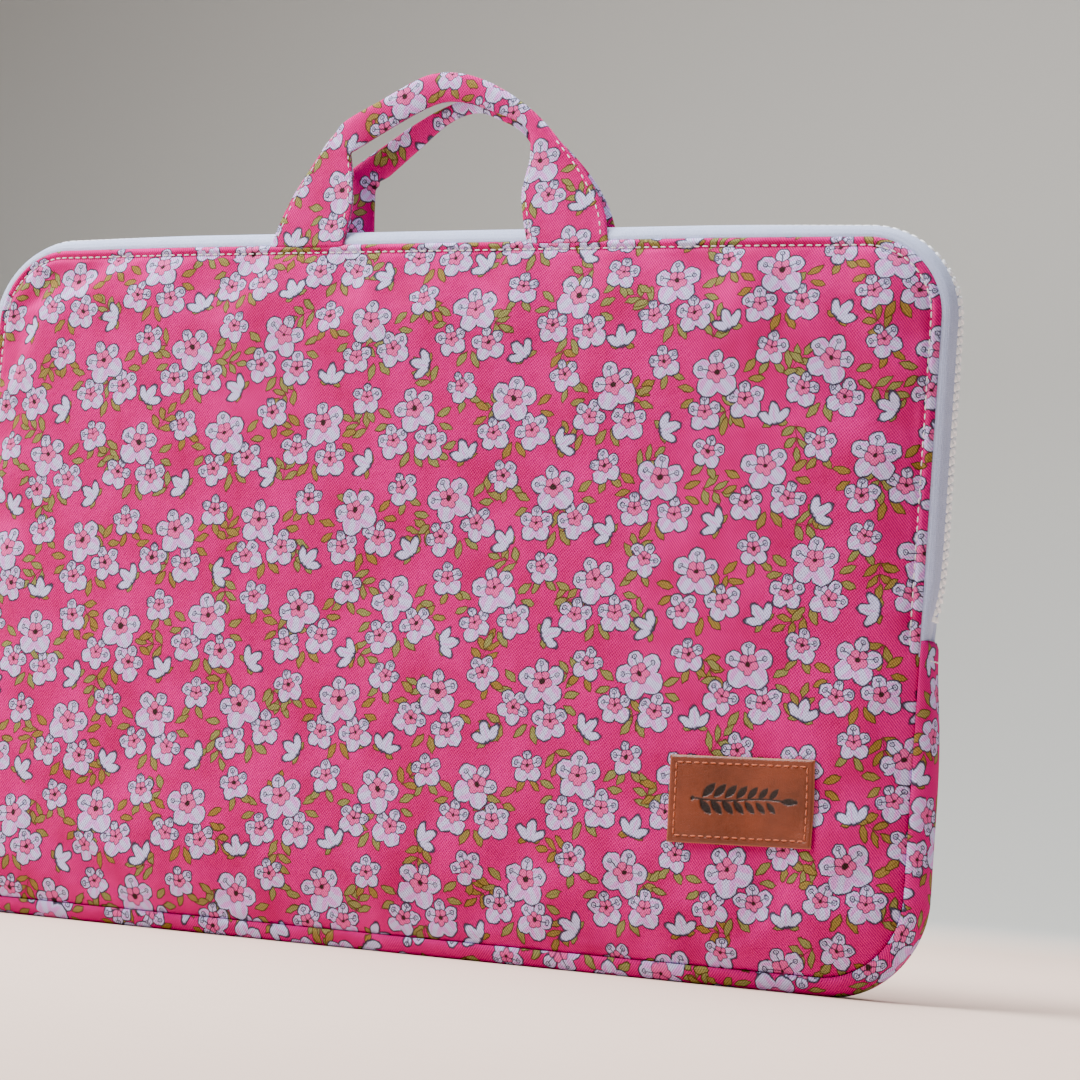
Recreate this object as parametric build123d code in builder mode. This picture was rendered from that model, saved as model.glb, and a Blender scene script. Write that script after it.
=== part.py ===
from build123d import *
import os
from math import asin, cos, radians, sin

os.makedirs("parts", exist_ok=True)

# A padded laptop sleeve with a wrap-round zip, standing on its bottom edge band.
# +X is the viewer's right, +Y is the back, +Z is up; the origin is the middle of
# the flat strip that the sleeve stands on.

# ---- body, mm ----
seam_width = 376.0            # outline of the seam that joins a face panel to the edge band
seam_height = 246.0
seam_corner_radius = 28.0
band_depth = 18.0             # front seam to back seam
crown_rise = 6.0              # how far the edge band stands out past the seams
crown_inset = 3.5             # from a seam to the edge of the band's flat top, across the band
shoulder_drop = 2.0           # where the band turns over to its flat top, below that top
shoulder_inset = 1.0
panel_bulge = 5.0             # how far a padded face stands out past its seam
bulge_inset = 16.0            # distance from the seam to the full bulge
zip_end_height = 115.0        # the zip ends here on both sides, and the front bends here

# ---- cloth, padding and trim ----
shell_thickness = 1.0
lining_thickness = 0.8
seam_allowance = 1.0          # how far the band reaches in past the seam
binding_width = 3.0
binding_thickness = 1.4
stitch_inset = 3.3            # topstitch, in from the panel's seam
stitch_width = 0.6
stitch_depth = 0.8
end_stitch_drop = 4.0         # bar of stitches below the folded end of the band

# ---- zip ----
tape_thickness = 0.8
tooth_height = 2.4            # a row of teeth, measured out of the sleeve
tooth_width = 2.5             # one row, measured front to back
tooth_proud = 0.2             # teeth above the band's flat top
row_gap = 1.3                 # between the two rows
stop_length = 2.0
slider_length = 12.0
slider_lip = 1.35             # plate's edge past a row of teeth
slider_corner = 2.5
slider_plate = 1.2
slider_clearance = 0.6        # plate to teeth
slider_park = 12.0            # slider's middle above the zip's lower end
web_clearance = 0.3           # web to teeth
web_length = 3.6
bail_length = 7.6
bail_width = 1.8
bail_bar = 1.2
pull_length = 28.0
pull_corner = 2.0
pull_arm = 2.0                # width of each arm beside the bail
pull_pin_radius = 0.7
pin_clearance = 0.25          # pin to the bail's bar and to the plate
arm_clearance = 0.6           # arm to the side of the bail
slot_clearance = 1.1          # end of the slot to the end of the bail

# ---- handles ----
handle_middle_x = 0.0
handle_leg_width = 32.0
handle_leg_middle = 53.0      # from the handle's middle to the middle of a leg
handle_rise = 62.0
handle_grip_width = 11.0
handle_thickness = 3.0
handle_gap = 2.8              # between the two handles at the top, where they lean together
foot_lift = 0.4               # leg's end above the top seam
foot_clearance = 0.5          # leg in front of the zip tape

# ---- label ----
label_width = 50.0
label_height = 29.0
label_thickness = 1.6
label_corner_radius = 1.5
label_from_side = 55.0        # label's middle in from the right-hand seam
label_above_seam = 55.0       # label's middle above the bottom seam
label_turn = 1.4              # degrees
label_stitch_inset = 2.2

# ---- worked out ----
half_width = seam_width / 2
half_height = seam_height / 2
half_depth = band_depth / 2
middle_z = crown_rise + half_height
top_seam_z = crown_rise + seam_height
zip_end_v = zip_end_height - middle_z
slope = bulge_inset / panel_bulge
crown_half = half_depth - crown_inset
tooth_top = crown_rise + tooth_proud
tooth_low = tooth_top - tooth_height
tape_top = tooth_low + (tooth_height + tape_thickness) / 2
row_inner = row_gap / 2
row_outer = row_inner + tooth_width
band_root = seam_allowance + lining_thickness
bend_plane = Plane.XY.offset(zip_end_height)


def face_plane(y):
    """Plane of a front panel layer at depth y, facing the front, centred on the panel."""
    return Plane(origin=(0, y, middle_z), x_dir=(1, 0, 0), z_dir=(0, -1, 0))


def seam_sketch(y, inset):
    """The panel outline at depth y, inset from the seam."""
    with BuildSketch(face_plane(y)) as outline:
        RectangleRounded(
            seam_width - 2 * inset, seam_height - 2 * inset, seam_corner_radius - inset
        )
    return outline.sketch


def slab_sections(skin):
    """Base and face of the pillow-edged slab that lies behind a skin of this thickness."""
    base = seam_sketch(-half_depth, skin * slope)
    face = seam_sketch(-half_depth - panel_bulge + skin, bulge_inset)
    return [base, face]


def band_section(inset):
    """Half-round section of the padded edge band: points (out from seam, front to back)."""
    front = [
        (-seam_allowance, -half_depth + inset),
        (0, -half_depth + inset),
        (crown_rise - shoulder_drop - inset / 2, -half_depth + shoulder_inset + inset),
        (crown_rise - inset, -crown_half + inset / 3),
    ]
    return front + [(out, -y) for out, y in reversed(front)]


def zip_plane(z):
    """Section plane at the right-hand end of the zip: x runs outwards, y to the back."""
    return Plane(origin=(half_width, 0, z), x_dir=(1, 0, 0), z_dir=(0, 0, 1))


def zip_path(z):
    """Seam line from the right-hand zip end, over the top, to the left-hand end."""
    v = z - middle_z
    FilletPolyline(
        (half_width, v), (half_width, half_height), (-half_width, half_height),
        (-half_width, v), radius=seam_corner_radius,
    )


gusset_plane = Plane(
    origin=(-half_width, 0, zip_end_height), x_dir=(-1, 0, 0), z_dir=(0, 0, -1)
)

with BuildLine(face_plane(0)) as zip_line:
    zip_path(zip_end_height)

with BuildLine(face_plane(0)) as teeth_line:
    zip_path(zip_end_height + stop_length)

with BuildLine(face_plane(0)) as gusset_line:
    FilletPolyline(
        (-half_width, zip_end_v), (-half_width, -half_height), (half_width, -half_height),
        (half_width, zip_end_v), radius=seam_corner_radius,
    )

# ---- a whole face panel, before the front is divided at its bending line ----
with BuildPart() as whole_shell:
    loft(slab_sections(0), ruled=True)
    loft(slab_sections(shell_thickness), ruled=True, mode=Mode.SUBTRACT)

with BuildPart() as whole_padding:
    loft(slab_sections(shell_thickness), ruled=True)

with BuildPart() as whole_lining:
    extrude(seam_sketch(-half_depth + lining_thickness, seam_allowance), amount=lining_thickness)

binding_y = -half_depth + lining_thickness + binding_thickness

with BuildPart() as whole_binding:
    extrude(seam_sketch(binding_y, band_root), amount=binding_thickness)
    extrude(seam_sketch(binding_y, band_root + binding_width), amount=binding_thickness,
            mode=Mode.SUBTRACT)

stitch_y = -half_depth - stitch_inset / slope + stitch_depth / 2

with BuildPart() as topstitch:
    extrude(seam_sketch(stitch_y, stitch_inset), amount=stitch_depth)
    extrude(seam_sketch(stitch_y, stitch_inset + stitch_width), amount=stitch_depth,
            mode=Mode.SUBTRACT)
    split(bisect_by=bend_plane, keep=Keep.TOP)

# ---- front panel, in the two lengths that bend apart when the mouth opens ----
with BuildPart() as front_shell_upper:
    add(whole_shell.part)
    add(topstitch.part, mode=Mode.SUBTRACT)
    split(bisect_by=bend_plane, keep=Keep.TOP)

with BuildPart() as front_shell_lower:
    add(whole_shell.part)
    split(bisect_by=bend_plane, keep=Keep.BOTTOM)

with BuildPart() as front_padding_upper:
    add(whole_padding.part)
    split(bisect_by=bend_plane, keep=Keep.TOP)

with BuildPart() as front_padding_lower:
    add(whole_padding.part)
    split(bisect_by=bend_plane, keep=Keep.BOTTOM)

with BuildPart() as front_lining_upper:
    add(whole_lining.part)
    split(bisect_by=bend_plane, keep=Keep.TOP)

with BuildPart() as front_lining_lower:
    add(whole_lining.part)
    split(bisect_by=bend_plane, keep=Keep.BOTTOM)

with BuildPart() as front_binding_upper:
    add(whole_binding.part)
    split(bisect_by=bend_plane, keep=Keep.TOP)

with BuildPart() as front_binding_lower:
    add(whole_binding.part)
    split(bisect_by=bend_plane, keep=Keep.BOTTOM)

with BuildPart() as front_topstitch:
    add(topstitch.part)

# ---- back panel, one length, the front's mirror image ----
with BuildPart() as back_shell:
    add(whole_shell.part)
    add(topstitch.part, mode=Mode.SUBTRACT)
    mirror(about=Plane.XZ, mode=Mode.REPLACE)

with BuildPart() as back_padding:
    mirror(whole_padding.part, about=Plane.XZ)

with BuildPart() as back_lining:
    mirror(whole_lining.part, about=Plane.XZ)

with BuildPart() as back_binding:
    mirror(whole_binding.part, about=Plane.XZ)

with BuildPart() as back_topstitch:
    mirror(topstitch.part, about=Plane.XZ)

# ---- padded edge band along the bottom and up both sides ----
with BuildPart() as gusset_shell:
    with BuildSketch(gusset_plane):
        with BuildLine():
            Polyline(*band_section(0), close=True)
        make_face()
        with BuildLine():
            Polyline(*band_section(shell_thickness), close=True)
        make_face(mode=Mode.SUBTRACT)
    sweep(path=gusset_line.wire())

with BuildPart() as gusset_padding:
    with BuildSketch(gusset_plane):
        with BuildLine():
            Polyline(*band_section(shell_thickness), close=True)
        make_face()
    sweep(path=gusset_line.wire())

with BuildPart() as gusset_lining:
    with BuildSketch(gusset_plane):
        with Locations((-seam_allowance - lining_thickness / 2, 0)):
            Rectangle(lining_thickness, band_depth - 2 * lining_thickness)
    sweep(path=gusset_line.wire())

# one bar of thread across each end of the band, below its fold
with BuildPart() as gusset_end_stitches:
    with BuildSketch(Plane.XY.offset(zip_end_height - end_stitch_drop)):
        with Locations((half_width + crown_rise + stitch_width / 2, 0),
                       (-half_width - crown_rise - stitch_width / 2, 0)):
            Rectangle(stitch_width, 2 * crown_half - 1)
    extrude(amount=stitch_width)


# ---- zip: two tapes, two rows of teeth, end stops ----
def tape_section():
    """Folded strip from the front seam up to the teeth: points (out from seam, y)."""
    return [
        (-seam_allowance, -half_depth),
        (tape_thickness / 2, -half_depth),
        (tape_top, -crown_half - tape_thickness / 2),
        (tape_top, -row_outer),
        (tape_top - tape_thickness, -row_outer),
        (tape_top - tape_thickness, -crown_half),
        (0, -half_depth + lining_thickness),
        (-seam_allowance, -half_depth + lining_thickness),
    ]


with BuildPart() as front_zip_tape:
    with BuildSketch(zip_plane(zip_end_height)):
        with BuildLine():
            Polyline(*tape_section(), close=True)
        make_face()
    sweep(path=zip_line.wire())

with BuildPart() as back_zip_tape:
    mirror(front_zip_tape.part, about=Plane.XZ)

tooth_spot = ((tooth_low + tooth_top) / 2, -(row_inner + row_outer) / 2)

with BuildPart() as front_zip_teeth:
    with BuildSketch(zip_plane(zip_end_height + stop_length)):
        with Locations(tooth_spot):
            Rectangle(tooth_height, tooth_width)
    sweep(path=teeth_line.wire())

with BuildPart() as back_zip_teeth:
    mirror(front_zip_teeth.part, about=Plane.XZ)

with BuildPart() as front_zip_stops:
    with BuildSketch(zip_plane(zip_end_height)):
        with Locations(tooth_spot):
            Rectangle(tooth_height, tooth_width)
    extrude(amount=stop_length)
    mirror(about=Plane.YZ)

with BuildPart() as back_zip_stops:
    mirror(front_zip_stops.part, about=Plane.XZ)

# ---- slider, on the left-hand side of the zip: two plates joined by a thin web ----
slider_z = zip_end_height + slider_park
slider_width = 2 * (row_outer + slider_lip)
inner_plate_top = tooth_low - slider_clearance
outer_plate_low = tooth_top + slider_clearance
outer_plate_top = outer_plate_low + slider_plate
web_width = row_gap - 2 * web_clearance
bail_window = 2 * (pull_pin_radius + pin_clearance)
pull_width = bail_width + 2 * (arm_clearance + pull_arm)
slot_reach = bail_length / 2 + slot_clearance
pin_out = outer_plate_top + bail_window / 2


def slider_plane(out):
    """Plane square to the left-hand side: x runs to the front, y upwards."""
    return Plane(origin=(-half_width - out, 0, slider_z), x_dir=(0, -1, 0), z_dir=(-1, 0, 0))


with BuildPart() as zip_slider:
    with BuildSketch(slider_plane(outer_plate_low)):
        RectangleRounded(slider_width, slider_length, slider_corner)
    extrude(amount=slider_plate)
    with BuildSketch(slider_plane(inner_plate_top - slider_plate)):
        RectangleRounded(slider_width - 1, slider_length, slider_corner)
    extrude(amount=slider_plate)
    with BuildSketch(slider_plane(inner_plate_top)):
        with Locations((0, -(slider_length - web_length) / 2)):
            Rectangle(web_width, web_length)
    extrude(amount=outer_plate_low - inner_plate_top)
    with BuildSketch(slider_plane(outer_plate_top)):
        Rectangle(bail_width, bail_length)
        Rectangle(bail_width, bail_length - 2 * bail_bar, mode=Mode.SUBTRACT)
    extrude(amount=bail_window)
    with BuildSketch(slider_plane(outer_plate_top + bail_window)):
        Rectangle(bail_width, bail_length)
    extrude(amount=bail_bar)

with BuildPart() as pull_tab:
    with BuildSketch(slider_plane(pin_out - pull_pin_radius)):
        with Locations((0, -pull_length / 2)):
            RectangleRounded(pull_width, pull_length, pull_corner)
        with Locations((0, -slot_reach / 2 + 1)):
            Rectangle(pull_width - 2 * pull_arm, slot_reach + 2, mode=Mode.SUBTRACT)
    extrude(amount=2 * pull_pin_radius)
    with BuildSketch(Plane(origin=(-half_width - pin_out, -pull_width / 2, slider_z),
                           x_dir=(1, 0, 0), z_dir=(0, 1, 0))):
        Circle(pull_pin_radius)
    extrude(amount=pull_width)

# ---- handles: flat straps that run up from the top seam and narrow to a grip ----
handle_foot_y = -half_depth - handle_thickness / 2 - foot_clearance
handle_top_y = -(handle_thickness + handle_gap) / 2
lean = asin((handle_top_y - handle_foot_y) / handle_rise)
handle_plane = Plane(
    origin=(handle_middle_x, handle_foot_y, top_seam_z + foot_lift), x_dir=(1, 0, 0),
    z_dir=(0, -cos(lean), sin(lean)),
)
leg_outer = handle_leg_middle + handle_leg_width / 2
leg_inner = handle_leg_middle - handle_leg_width / 2
gap_rise = handle_rise - handle_grip_width

# right half of the strap's outer and inner edges, as points (out from the middle, up)
outer_foot = (leg_outer - 5, handle_rise * 0.26)
outer_bow = (leg_outer - 17, handle_rise * 0.58)
outer_crown = (leg_inner - 7, handle_rise * 0.85)
inner_bow = (leg_inner - 3, gap_rise * 0.4)


def left(point):
    """The mirror image of a point of the handle's right half."""
    return (-point[0], point[1])


with BuildPart() as front_handle:
    with BuildSketch(handle_plane):
        with BuildLine():
            Line((leg_outer, 0), outer_foot)
            ThreePointArc(outer_foot, outer_bow, outer_crown)
            ThreePointArc(outer_crown, (0, handle_rise), left(outer_crown))
            ThreePointArc(left(outer_crown), left(outer_bow), left(outer_foot))
            Polyline(left(outer_foot), (-leg_outer, 0), (-leg_inner, 0), left(inner_bow))
            ThreePointArc(left(inner_bow), (0, gap_rise), inner_bow)
            Polyline(inner_bow, (leg_inner, 0), (leg_outer, 0))
        make_face()
    extrude(amount=handle_thickness / 2, both=True)

with BuildPart() as back_handle:
    mirror(front_handle.part, about=Plane.XZ)

# ---- leather label and its stitching, low on the right of the front ----
label_plane = Plane(
    origin=(half_width - label_from_side, -half_depth - panel_bulge, crown_rise + label_above_seam),
    x_dir=(cos(radians(label_turn)), 0, sin(radians(label_turn))), z_dir=(0, -1, 0),
)


def label_stitch_ring():
    """Narrow frame just inside the label's edge, drawn in the active sketch."""
    inner_inset = label_stitch_inset + stitch_width
    Rectangle(label_width - 2 * label_stitch_inset, label_height - 2 * label_stitch_inset)
    Rectangle(label_width - 2 * inner_inset, label_height - 2 * inner_inset, mode=Mode.SUBTRACT)


with BuildPart() as leather_label:
    with BuildSketch(label_plane):
        RectangleRounded(label_width, label_height, label_corner_radius)
    extrude(amount=label_thickness)
    with BuildSketch(label_plane.offset(label_thickness)):
        label_stitch_ring()
    extrude(amount=-stitch_width, mode=Mode.SUBTRACT)

with BuildPart() as label_stitching:
    with BuildSketch(label_plane.offset(label_thickness - stitch_width)):
        label_stitch_ring()
    extrude(amount=stitch_width)

pieces = {
    "front_shell_upper": front_shell_upper,
    "front_shell_lower": front_shell_lower,
    "front_padding_upper": front_padding_upper,
    "front_padding_lower": front_padding_lower,
    "front_lining_upper": front_lining_upper,
    "front_lining_lower": front_lining_lower,
    "front_binding_upper": front_binding_upper,
    "front_binding_lower": front_binding_lower,
    "front_topstitch": front_topstitch,
    "back_shell": back_shell,
    "back_padding": back_padding,
    "back_lining": back_lining,
    "back_binding": back_binding,
    "back_topstitch": back_topstitch,
    "gusset_shell": gusset_shell,
    "gusset_padding": gusset_padding,
    "gusset_lining": gusset_lining,
    "gusset_end_stitches": gusset_end_stitches,
    "front_zip_tape": front_zip_tape,
    "back_zip_tape": back_zip_tape,
    "front_zip_teeth": front_zip_teeth,
    "back_zip_teeth": back_zip_teeth,
    "front_zip_stops": front_zip_stops,
    "back_zip_stops": back_zip_stops,
    "zip_slider": zip_slider,
    "pull_tab": pull_tab,
    "front_handle": front_handle,
    "back_handle": back_handle,
    "leather_label": leather_label,
    "label_stitching": label_stitching,
}

for name, piece in pieces.items():
    piece.part.label = name
    export_step(piece.part, f"parts/{name}.step")
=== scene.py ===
import math
import random

import bpy
from mathutils import Matrix, Vector, noise
from mathutils.bvhtree import BVHTree


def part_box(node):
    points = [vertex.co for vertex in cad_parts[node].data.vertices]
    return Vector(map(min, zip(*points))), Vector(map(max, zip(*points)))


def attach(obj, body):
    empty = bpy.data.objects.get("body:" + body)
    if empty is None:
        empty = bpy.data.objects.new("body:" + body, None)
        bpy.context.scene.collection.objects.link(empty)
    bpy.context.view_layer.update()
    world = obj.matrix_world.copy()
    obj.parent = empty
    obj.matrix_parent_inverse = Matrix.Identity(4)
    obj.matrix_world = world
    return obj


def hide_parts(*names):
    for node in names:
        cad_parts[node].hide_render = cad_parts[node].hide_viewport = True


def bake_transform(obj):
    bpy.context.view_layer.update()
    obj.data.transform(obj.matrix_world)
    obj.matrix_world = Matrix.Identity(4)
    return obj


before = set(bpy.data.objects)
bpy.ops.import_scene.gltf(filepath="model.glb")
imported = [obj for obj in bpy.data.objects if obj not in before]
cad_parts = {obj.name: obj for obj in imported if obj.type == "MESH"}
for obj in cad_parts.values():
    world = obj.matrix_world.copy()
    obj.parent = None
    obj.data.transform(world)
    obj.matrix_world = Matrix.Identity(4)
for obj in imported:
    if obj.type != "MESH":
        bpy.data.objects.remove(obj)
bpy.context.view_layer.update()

mm = 0.001
random.seed(7)


# the sleeve's own measures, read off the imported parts
backLow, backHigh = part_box("back_shell")
seamSide = backHigh.x
seamBottom = backLow.z
seamTop = backHigh.z
seamDepth = backLow.y
panelDepth = backHigh.y
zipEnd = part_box("front_shell_upper")[0].z
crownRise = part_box("gusset_shell")[1].x - seamSide
seamMiddle = (seamTop + seamBottom) / 2
seamHalf = (seamTop - seamBottom) / 2
cornerRadius = 28 * mm
sideSlim = 2.4 * mm                              # the sleeve is slimmer by this much towards its sides
crownDrop = 1.2 * mm


# view, light and floor
view = {
    "place": (0.4586, -0.8826, 0.0447),
    "right": (0.9063, 0.4150, 0.0798),
    "up": (-0.0285, -0.1284, 0.9913),
    "lens": 93.3,
    "floorReach": 6.0,
    "floorFront": 5.0,
    "wallBehind": 2.2,
    "wallTall": 3.0,
    "coveRadius": 0.8,
}


def addCamera():
    right, up = Vector(view["right"]).normalized(), Vector(view["up"]).normalized()
    back = right.cross(up)
    turn = Matrix((right, up, back)).transposed().to_4x4()
    bpy.ops.object.camera_add(location=view["place"])
    camera = bpy.context.object
    camera.name = "sleeveCamera"
    camera.matrix_world = Matrix.Translation(view["place"]) @ turn
    camera.data.lens = view["lens"]
    camera.data.sensor_width = 36
    camera.data.clip_end = 20
    bpy.context.scene.camera = camera


lights = {
    "windowLight": {"place": (-0.55, -0.38, 1.22), "size": 0.9, "power": 98, "tint": (1.0, 0.99, 0.98)},
    "sideFill": {"place": (1.5, -0.10, 0.75), "size": 1.2, "power": 7, "tint": (0.80, 0.90, 1.0)},
    "topLight": {"place": (-0.1, 0.45, 1.3), "size": 1.2, "power": 36, "tint": (1.0, 1.0, 1.0)},
}
room = {"aim": (0, 0, 0.14), "tint": (0.80, 0.83, 0.86, 1), "strength": 0.26}


def addLights():
    aim = Vector(room["aim"])
    for name, lamp in lights.items():
        bpy.ops.object.light_add(type="AREA", location=lamp["place"])
        light = bpy.context.object
        light.name = name
        light.data.size = lamp["size"]
        light.data.energy = lamp["power"]
        light.data.color = lamp["tint"]
        light.rotation_euler = (aim - Vector(lamp["place"])).to_track_quat("-Z", "Y").to_euler()
    world = bpy.data.worlds.new("softRoom")
    world.use_nodes = True
    world.node_tree.nodes["Background"].inputs["Color"].default_value = room["tint"]
    world.node_tree.nodes["Background"].inputs["Strength"].default_value = room["strength"]
    bpy.context.scene.world = world
    bpy.context.scene.view_settings.look = "AgX - Punchy"       # the plain look washes the pink out


# materials
class Wire:
    # one output in a material; arithmetic on it adds Math nodes
    def __init__(self, tree, socket=None):
        self.tree = tree
        self.socket = socket

    def node(self, kind, settings, links, out=0):
        made = self.tree.nodes.new("ShaderNode" + kind)
        for key, value in settings.items():
            if key == "stops":
                ramp = made.color_ramp
                for place, colour in value[2:]:
                    ramp.elements.new(place).color = colour
                ramp.elements[0].position, ramp.elements[0].color = value[0]
                ramp.elements[-1].position, ramp.elements[-1].color = value[1]
            else:
                setattr(made, key, value)
        for key, value in links.items():
            if isinstance(value, Wire):
                self.tree.links.new(value.socket, made.inputs[key])
            else:
                made.inputs[key].default_value = value
        if isinstance(out, tuple):
            return [Wire(self.tree, made.outputs[o]) for o in out]
        return Wire(self.tree, made.outputs[out])

    def maths(self, operation, *values):
        return self.node("Math", {"operation": operation}, dict(enumerate(values)))

    def __add__(self, other):
        return self.maths("ADD", self, other)

    def __radd__(self, other):
        return self.maths("ADD", other, self)

    def __sub__(self, other):
        return self.maths("SUBTRACT", self, other)

    def __rsub__(self, other):
        return self.maths("SUBTRACT", other, self)

    def __mul__(self, other):
        return self.maths("MULTIPLY", self, other)

    def __rmul__(self, other):
        return self.maths("MULTIPLY", other, self)

    def __truediv__(self, other):
        return self.maths("DIVIDE", self, other)

    def __rtruediv__(self, other):
        return self.maths("DIVIDE", other, self)

    def __abs__(self):
        return self.maths("ABSOLUTE", self)

    def __pow__(self, other):
        return self.maths("POWER", self, other)

    def floor(self):
        return self.maths("FLOOR", self)

    def sin(self):
        return self.maths("SINE", self)

    def cos(self):
        return self.maths("COSINE", self)

    def below(self, edge, soft):
        # 1 where the value is under edge, falling to 0 over soft
        ends = {0: self, 1: edge - soft, 2: edge + soft, 3: 1.0, 4: 0.0}
        return self.node("MapRange", {"clamp": True}, ends)

    def most(self, other):
        return self.maths("MAXIMUM", self, other)

    def least(self, other):
        return self.maths("MINIMUM", self, other)

    def paint(self, under, over):
        # over laid on under where this mask is 1
        return self.node("Mix", {"data_type": "RGBA"}, {0: self, 6: under, 7: over}, out=2)

    def cloud(self, spot, scale, detail, space="3D", out=0):
        return self.node("TexNoise", {"noise_dimensions": space},
                         {"Vector": spot, "Scale": scale, "Detail": detail}, out)


def shade(red, green, blue):
    # an everyday 0 to 255 colour as the linear one that nodes want
    def linear(value):
        value /= 255
        return value / 12.92 if value <= 0.04045 else ((value + 0.055) / 1.055) ** 2.4
    return (linear(red), linear(green), linear(blue), 1.0)


def newMaterial(name, **fixed):
    material = bpy.data.materials.new(name)
    material.use_nodes = True
    surface = material.node_tree.nodes["Principled BSDF"]
    for key, value in fixed.items():
        surface.inputs[key.replace("_", " ")].default_value = value
    return material, Wire(material.node_tree)


def cover(material, colour, roughness=None, relief=None, strength=1.0, height=0.0):
    # the worked-out colour, roughness and relief go to the surface
    tree = material.node_tree
    made = {"Base Color": colour, "Roughness": roughness, "Normal": None}
    if relief is not None:
        made["Normal"] = colour.node("Bump", {}, {"Strength": strength, "Distance": height, "Height": relief},
                                     "Normal")
    for key, wire in made.items():
        if wire is not None:
            tree.links.new(wire.socket, tree.nodes["Principled BSDF"].inputs[key])
    return material


def clothPlace(wire):
    # millimetres along and across the cloth, apart and as one spot
    uv = wire.node("UVMap", {"uv_map": "UVMap"}, {})
    across, along, _ = wire.node("SeparateXYZ", {}, {0: uv}, out=(0, 1, 2))
    across, along = across * 1000, along * 1000
    return across, along, wire.node("CombineXYZ", {}, {0: across, 1: along})


printLook = {
    "ground": shade(238, 12, 138),
    "groundDeep": shade(204, 6, 104),
    "petal": shade(220, 222, 255),
    "petalStreak": shade(240, 160, 236),
    "heart": shade(246, 98, 164),
    "core": shade(64, 48, 44),
    "line": shade(58, 58, 70),
    "leaf": shade(150, 152, 84),
    "leafGold": shade(160, 130, 58),
    "leafLine": shade(84, 66, 34),
    "weaveTint": shade(176, 172, 206),
    "twillPitch": 0.92,
    "scale": 1.11,
    "streak": 0.85,
    "outline": 0.95,
    "slant": 0.8,            # the twill's lines climb by this share of their run
}


def turned(x, y, angle):
    cosine, sine = angle.cos(), angle.sin()
    return x * cosine + y * sine, y * cosine - x * sine


def reroll(chance, number):
    # another chance out of the first one
    mixed = chance * (7.13 + 3 * number) + 0.37 * number
    return mixed - mixed.floor()


def scatter(wire, across, along, cell):
    # a turned brick grid with one motif in each cell: the place in the cell, and three chances
    cosine, sine = math.cos(cell["turn"]), math.sin(cell["turn"])
    u = across * cosine - along * sine - cell["offset"][0]
    v = across * sine + along * cosine - cell["offset"][1]
    row = (v / cell["height"]).floor()
    shifted = u / cell["width"] + row * 0.382
    column = shifted.floor()
    spot = wire.node("CombineXYZ", {}, {0: column, 1: row, 2: cell["seed"]})
    dice = wire.node("TexWhiteNoise", {"noise_dimensions": "3D"}, {"Vector": spot}, out="Color")
    first, second, third = wire.node("SeparateColor", {}, {0: dice}, out=(0, 1, 2))
    x = (shifted - column - 0.5) * cell["width"] - (first - 0.5) * cell["drift"][0]
    y = (v / cell["height"] - row - 0.5) * cell["height"] - (second - 0.5) * cell["drift"][1]
    return x, y, (first, second, third)


def paintFlower(wire, colour, x, y, chance, size):
    # five uneven petals, the lower ones fuller, with curled stamens on the upper ones
    reach = (x * x + y * y) ** 0.5
    angle = wire.maths("ARCTAN2", y, x)
    fifth = 2 * math.pi / 5
    sector = angle / fifth - 0.25
    petalNumber = (sector + 0.5).floor()
    fold = (sector - petalNumber) * fifth
    gap = (sector - sector.floor() - 0.5) * fifth
    petalUp = ((petalNumber + 0.25) * fifth).sin()
    spot = wire.node("CombineXYZ", {}, {0: petalNumber, 1: chance * 37, 2: chance * 23})
    petalChance = wire.node("TexWhiteNoise", {"noise_dimensions": "3D"}, {"Vector": spot}, out="Value")
    out, side = reach * fold.cos(), reach * fold.sin()
    tip = out - size * 0.54
    petal = (tip * tip + side * side * 1.15) ** 0.5 - (petalChance * 0.12 - petalUp * 0.075 + 0.32) * size
    body = petal.least(reach - size * 0.42)
    streak = (side * (13 / size)).cos().below(-0.1, 0.5) * body.below(-0.7, 0.3)
    colour = body.below(0.0, 0.12).paint(colour, printLook["petal"])
    colour = (streak * printLook["streak"]).paint(colour, printLook["petalStreak"])
    colour = (abs(body).below(0.25, 0.13) * printLook["outline"]).paint(colour, printLook["line"])
    lobe = reach * gap.cos() - size * 0.23
    lobeSide = reach * gap.sin()
    heart = ((lobe * lobe + lobeSide * lobeSide) ** 0.5 - size * 0.17).least(reach - size * 0.19)
    core = reach - (chance * 0.05 + 0.08) * size
    filament = abs(side).most(reach - size * 0.60).most(size * 0.12 - reach)
    beadOut = out - size * 0.66
    bead = (beadOut * beadOut + side * side * 0.7) ** 0.5
    upper = (petalUp * -1).below(-0.1, 0.05)
    colour = heart.below(0.0, 0.12).paint(colour, printLook["heart"])
    colour = (abs(heart).below(0.17, 0.11) * 0.85).paint(colour, printLook["line"])
    curl = abs(bead - 0.62).below(0.16, 0.10).most(bead.below(0.2, 0.12))
    stamen = filament.below(0.17, 0.10).most(curl) * upper
    colour = (stamen * printLook["outline"]).paint(colour, printLook["line"])
    return core.below(0.0, 0.2).paint(colour, printLook["core"])


def paintBud(wire, colour, x, y, chance, size):
    # three round-ended petals that open from one point
    body = None
    for lean in (-0.85, 0.0, 0.85):
        along = (x * math.sin(lean) + y * math.cos(lean) - size * 0.45) * 0.5
        side = x * math.cos(lean) - y * math.sin(lean)
        petal = (along * along + side * side) ** 0.5 - size * (0.23 - 0.05 * abs(lean))
        body = petal if body is None else body.least(petal)
    colour = body.below(0.0, 0.12).paint(colour, printLook["petal"])
    middle = abs(x + (chance - 0.5) * 0.8).below(0.25, 0.2) * body.below(-0.6, 0.2)
    colour = (middle * printLook["streak"]).paint(colour, printLook["petalStreak"])
    return (abs(body).below(0.24, 0.13) * printLook["outline"]).paint(colour, printLook["line"])


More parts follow.
